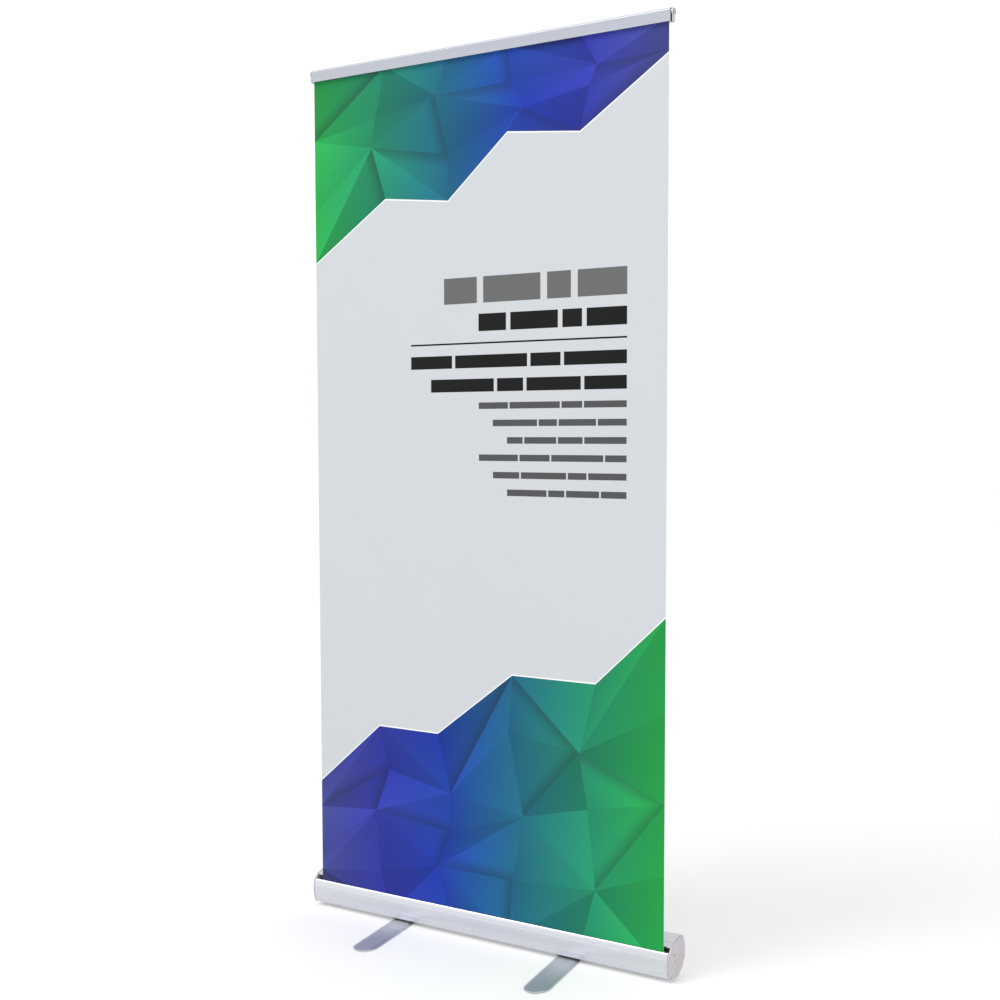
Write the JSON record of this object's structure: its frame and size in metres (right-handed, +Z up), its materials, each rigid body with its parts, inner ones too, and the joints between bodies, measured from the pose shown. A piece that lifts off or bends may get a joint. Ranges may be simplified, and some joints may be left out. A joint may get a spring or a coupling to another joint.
{
  "type": "roll-up banner stand",
  "caption": "Free-standing roll-up banner: spring roller case on swivel feet, printed sheet, clamp rail and a folding pole behind the sheet.",
  "frame": {"origin": "on the floor under the middle of the bounding box of the stand as it stands, sheet pulled up and feet turned out", "axes": "+Z up; +X along the case, to the right of someone who faces the print; -Y to the front, where the print faces"},
  "size_m": [1.045, 0.3456, 2.0951],
  "materials": {
    "case_aluminium": "silver anodised, fine satin lines along the extrusion",
    "rail_aluminium": "silver anodised, satin",
    "rail_end": "bright plated end plug",
    "foot_aluminium": "brushed flat bar",
    "pole_aluminium": "satin drawn tube",
    "cap_plastic": "light grey moulded, fine grain",
    "black_plastic": "black moulded",
    "rubber": "matte rubber",
    "zinc_steel": "zinc plated",
    "spring_steel": "oiled spring wire",
    "print_film": "printed polyester film, semi-matte",
    "tape": "double-sided tape",
    "elastic_cord": "braided elastic cord"
  },
  "bodies": {
    "cassette": {"cassette_shell": "case_aluminium", "end_cap_left": "cap_plastic", "end_cap_right": "cap_plastic", "cap_screw_left_1": "zinc_steel", "cap_screw_left_2": "zinc_steel", "cap_screw_left_3": "zinc_steel", "cap_screw_right_1": "zinc_steel", "cap_screw_right_2": "zinc_steel", "cap_screw_right_3": "zinc_steel", "pole_socket": "black_plastic", "foot_carrier_left": "black_plastic", "foot_carrier_right": "black_plastic", "foot_washer_left": "black_plastic", "foot_washer_right": "black_plastic", "foot_bolt_left": "zinc_steel", "foot_bolt_right": "zinc_steel", "foot_nut_left": "zinc_steel", "foot_nut_right": "zinc_steel", "roller_pin_right": "zinc_steel", "spring_arbor": "zinc_steel", "spring_hub": "black_plastic", "torsion_spring": "spring_steel"},
    "foot_left": {"foot_bar_left": "foot_aluminium", "foot_pad_left_front": "rubber", "foot_pad_left_rear": "rubber"},
    "foot_right": {"foot_bar_right": "foot_aluminium", "foot_pad_right_front": "rubber", "foot_pad_right_rear": "rubber"},
    "clamp_rail": {"rail_rear_half": "rail_aluminium", "rail_gasket_right": "black_plastic", "rail_gasket_left": "black_plastic", "rail_cap_left": "rail_end", "rail_cap_right": "rail_end", "rail_screw_left": "zinc_steel", "rail_screw_right": "zinc_steel", "print_sheet": "print_film"},
    "clamp_jaw": {"rail_front_jaw": "rail_aluminium"},
    "roller": {"roller_tube": "case_aluminium", "roller_plug_left": "black_plastic", "roller_plug_right": "black_plastic", "spring_driver": "black_plastic", "roller_tape": "tape", "print_roll": "print_film"},
    "pole": {"pole_tube_lower": "pole_aluminium", "pole_tube_middle": "pole_aluminium", "pole_tube_upper": "pole_aluminium", "pole_ferrule_middle": "zinc_steel", "pole_ferrule_upper": "zinc_steel", "pole_foot_plug": "black_plastic", "pole_head": "black_plastic", "pole_cord": "elastic_cord"}
  },
  "joints": [
    {"name": "rail_travel", "type": "slide", "parent": "cassette", "child": "clamp_rail", "axis": [0, 0, 1], "range_m": [-1.996, 0.012], "deforming": ["print_sheet"]},
    {"name": "roller_spin", "type": "hinge", "parent": "cassette", "child": "roller", "pos_m": [0, 0.0716, 0.0467], "axis": [1, 0, 0], "range_deg": [-45, 6600]},
    {"name": "jaw_open", "type": "hinge", "parent": "clamp_rail", "child": "clamp_jaw", "pos_m": [0.00675, 0.05355, 2.0867], "axis": [1, 0, 0], "range_deg": [-25, 0]},
    {"name": "foot_left_swivel", "type": "hinge", "parent": "cassette", "child": "foot_left", "pos_m": [-0.244, 0.08005, 0.004], "axis": [0, 0, 1], "range_deg": [-104, 0]},
    {"name": "foot_right_swivel", "type": "hinge", "parent": "cassette", "child": "foot_right", "pos_m": [0.244, 0.08005, 0.004], "axis": [0, 0, 1], "range_deg": [-14, 76]},
    {"name": "pole_lean", "type": "hinge", "parent": "cassette", "child": "pole", "pos_m": [0, 0.09955, 0.0767], "axis": [1, 0, 0], "range_deg": [-1.5, 0]}
  ],
  "couplings": [
    {"joint": "roller_spin", "follows": "rail_travel", "rad_per_m": -56.338}
  ]
}
